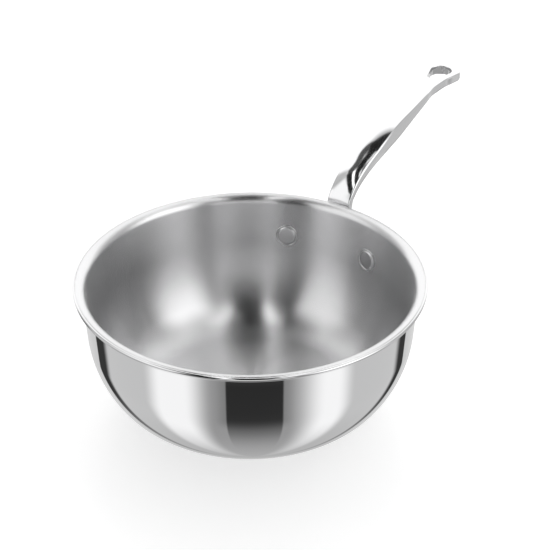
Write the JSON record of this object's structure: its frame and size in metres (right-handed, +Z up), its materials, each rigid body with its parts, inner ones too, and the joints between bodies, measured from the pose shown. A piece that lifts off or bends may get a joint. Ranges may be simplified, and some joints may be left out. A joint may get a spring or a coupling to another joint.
{
  "type": "saucier pan",
  "caption": "Round-bottomed clad stainless saucier with a flared pouring lip and a long riveted cast handle with a hanging hole.",
  "frame": {"origin": "centre of the bowl's flat base, on the surface that the pan stands on", "axes": "+X along the handle, away from the bowl; +Y to the left of the handle; +Z up, along the bowl's axis"},
  "size_m": [0.3773, 0.2154, 0.1247],
  "materials": {
    "polished_steel": "mirror-polished stainless steel",
    "aluminium_core": "plain rolled aluminium, sealed between the skins",
    "satin_steel": "fine satin stainless steel, brushed round the bowl",
    "cast_steel": "mirror-polished cast stainless steel",
    "rivet_steel": "satin stainless steel"
  },
  "bodies": {
    "root": {"outer_skin": "polished_steel", "core": "aluminium_core", "inner_skin": "satin_steel", "handle": "cast_steel", "rivet_left": "rivet_steel", "rivet_right": "rivet_steel"}
  },
  "joints": []
}
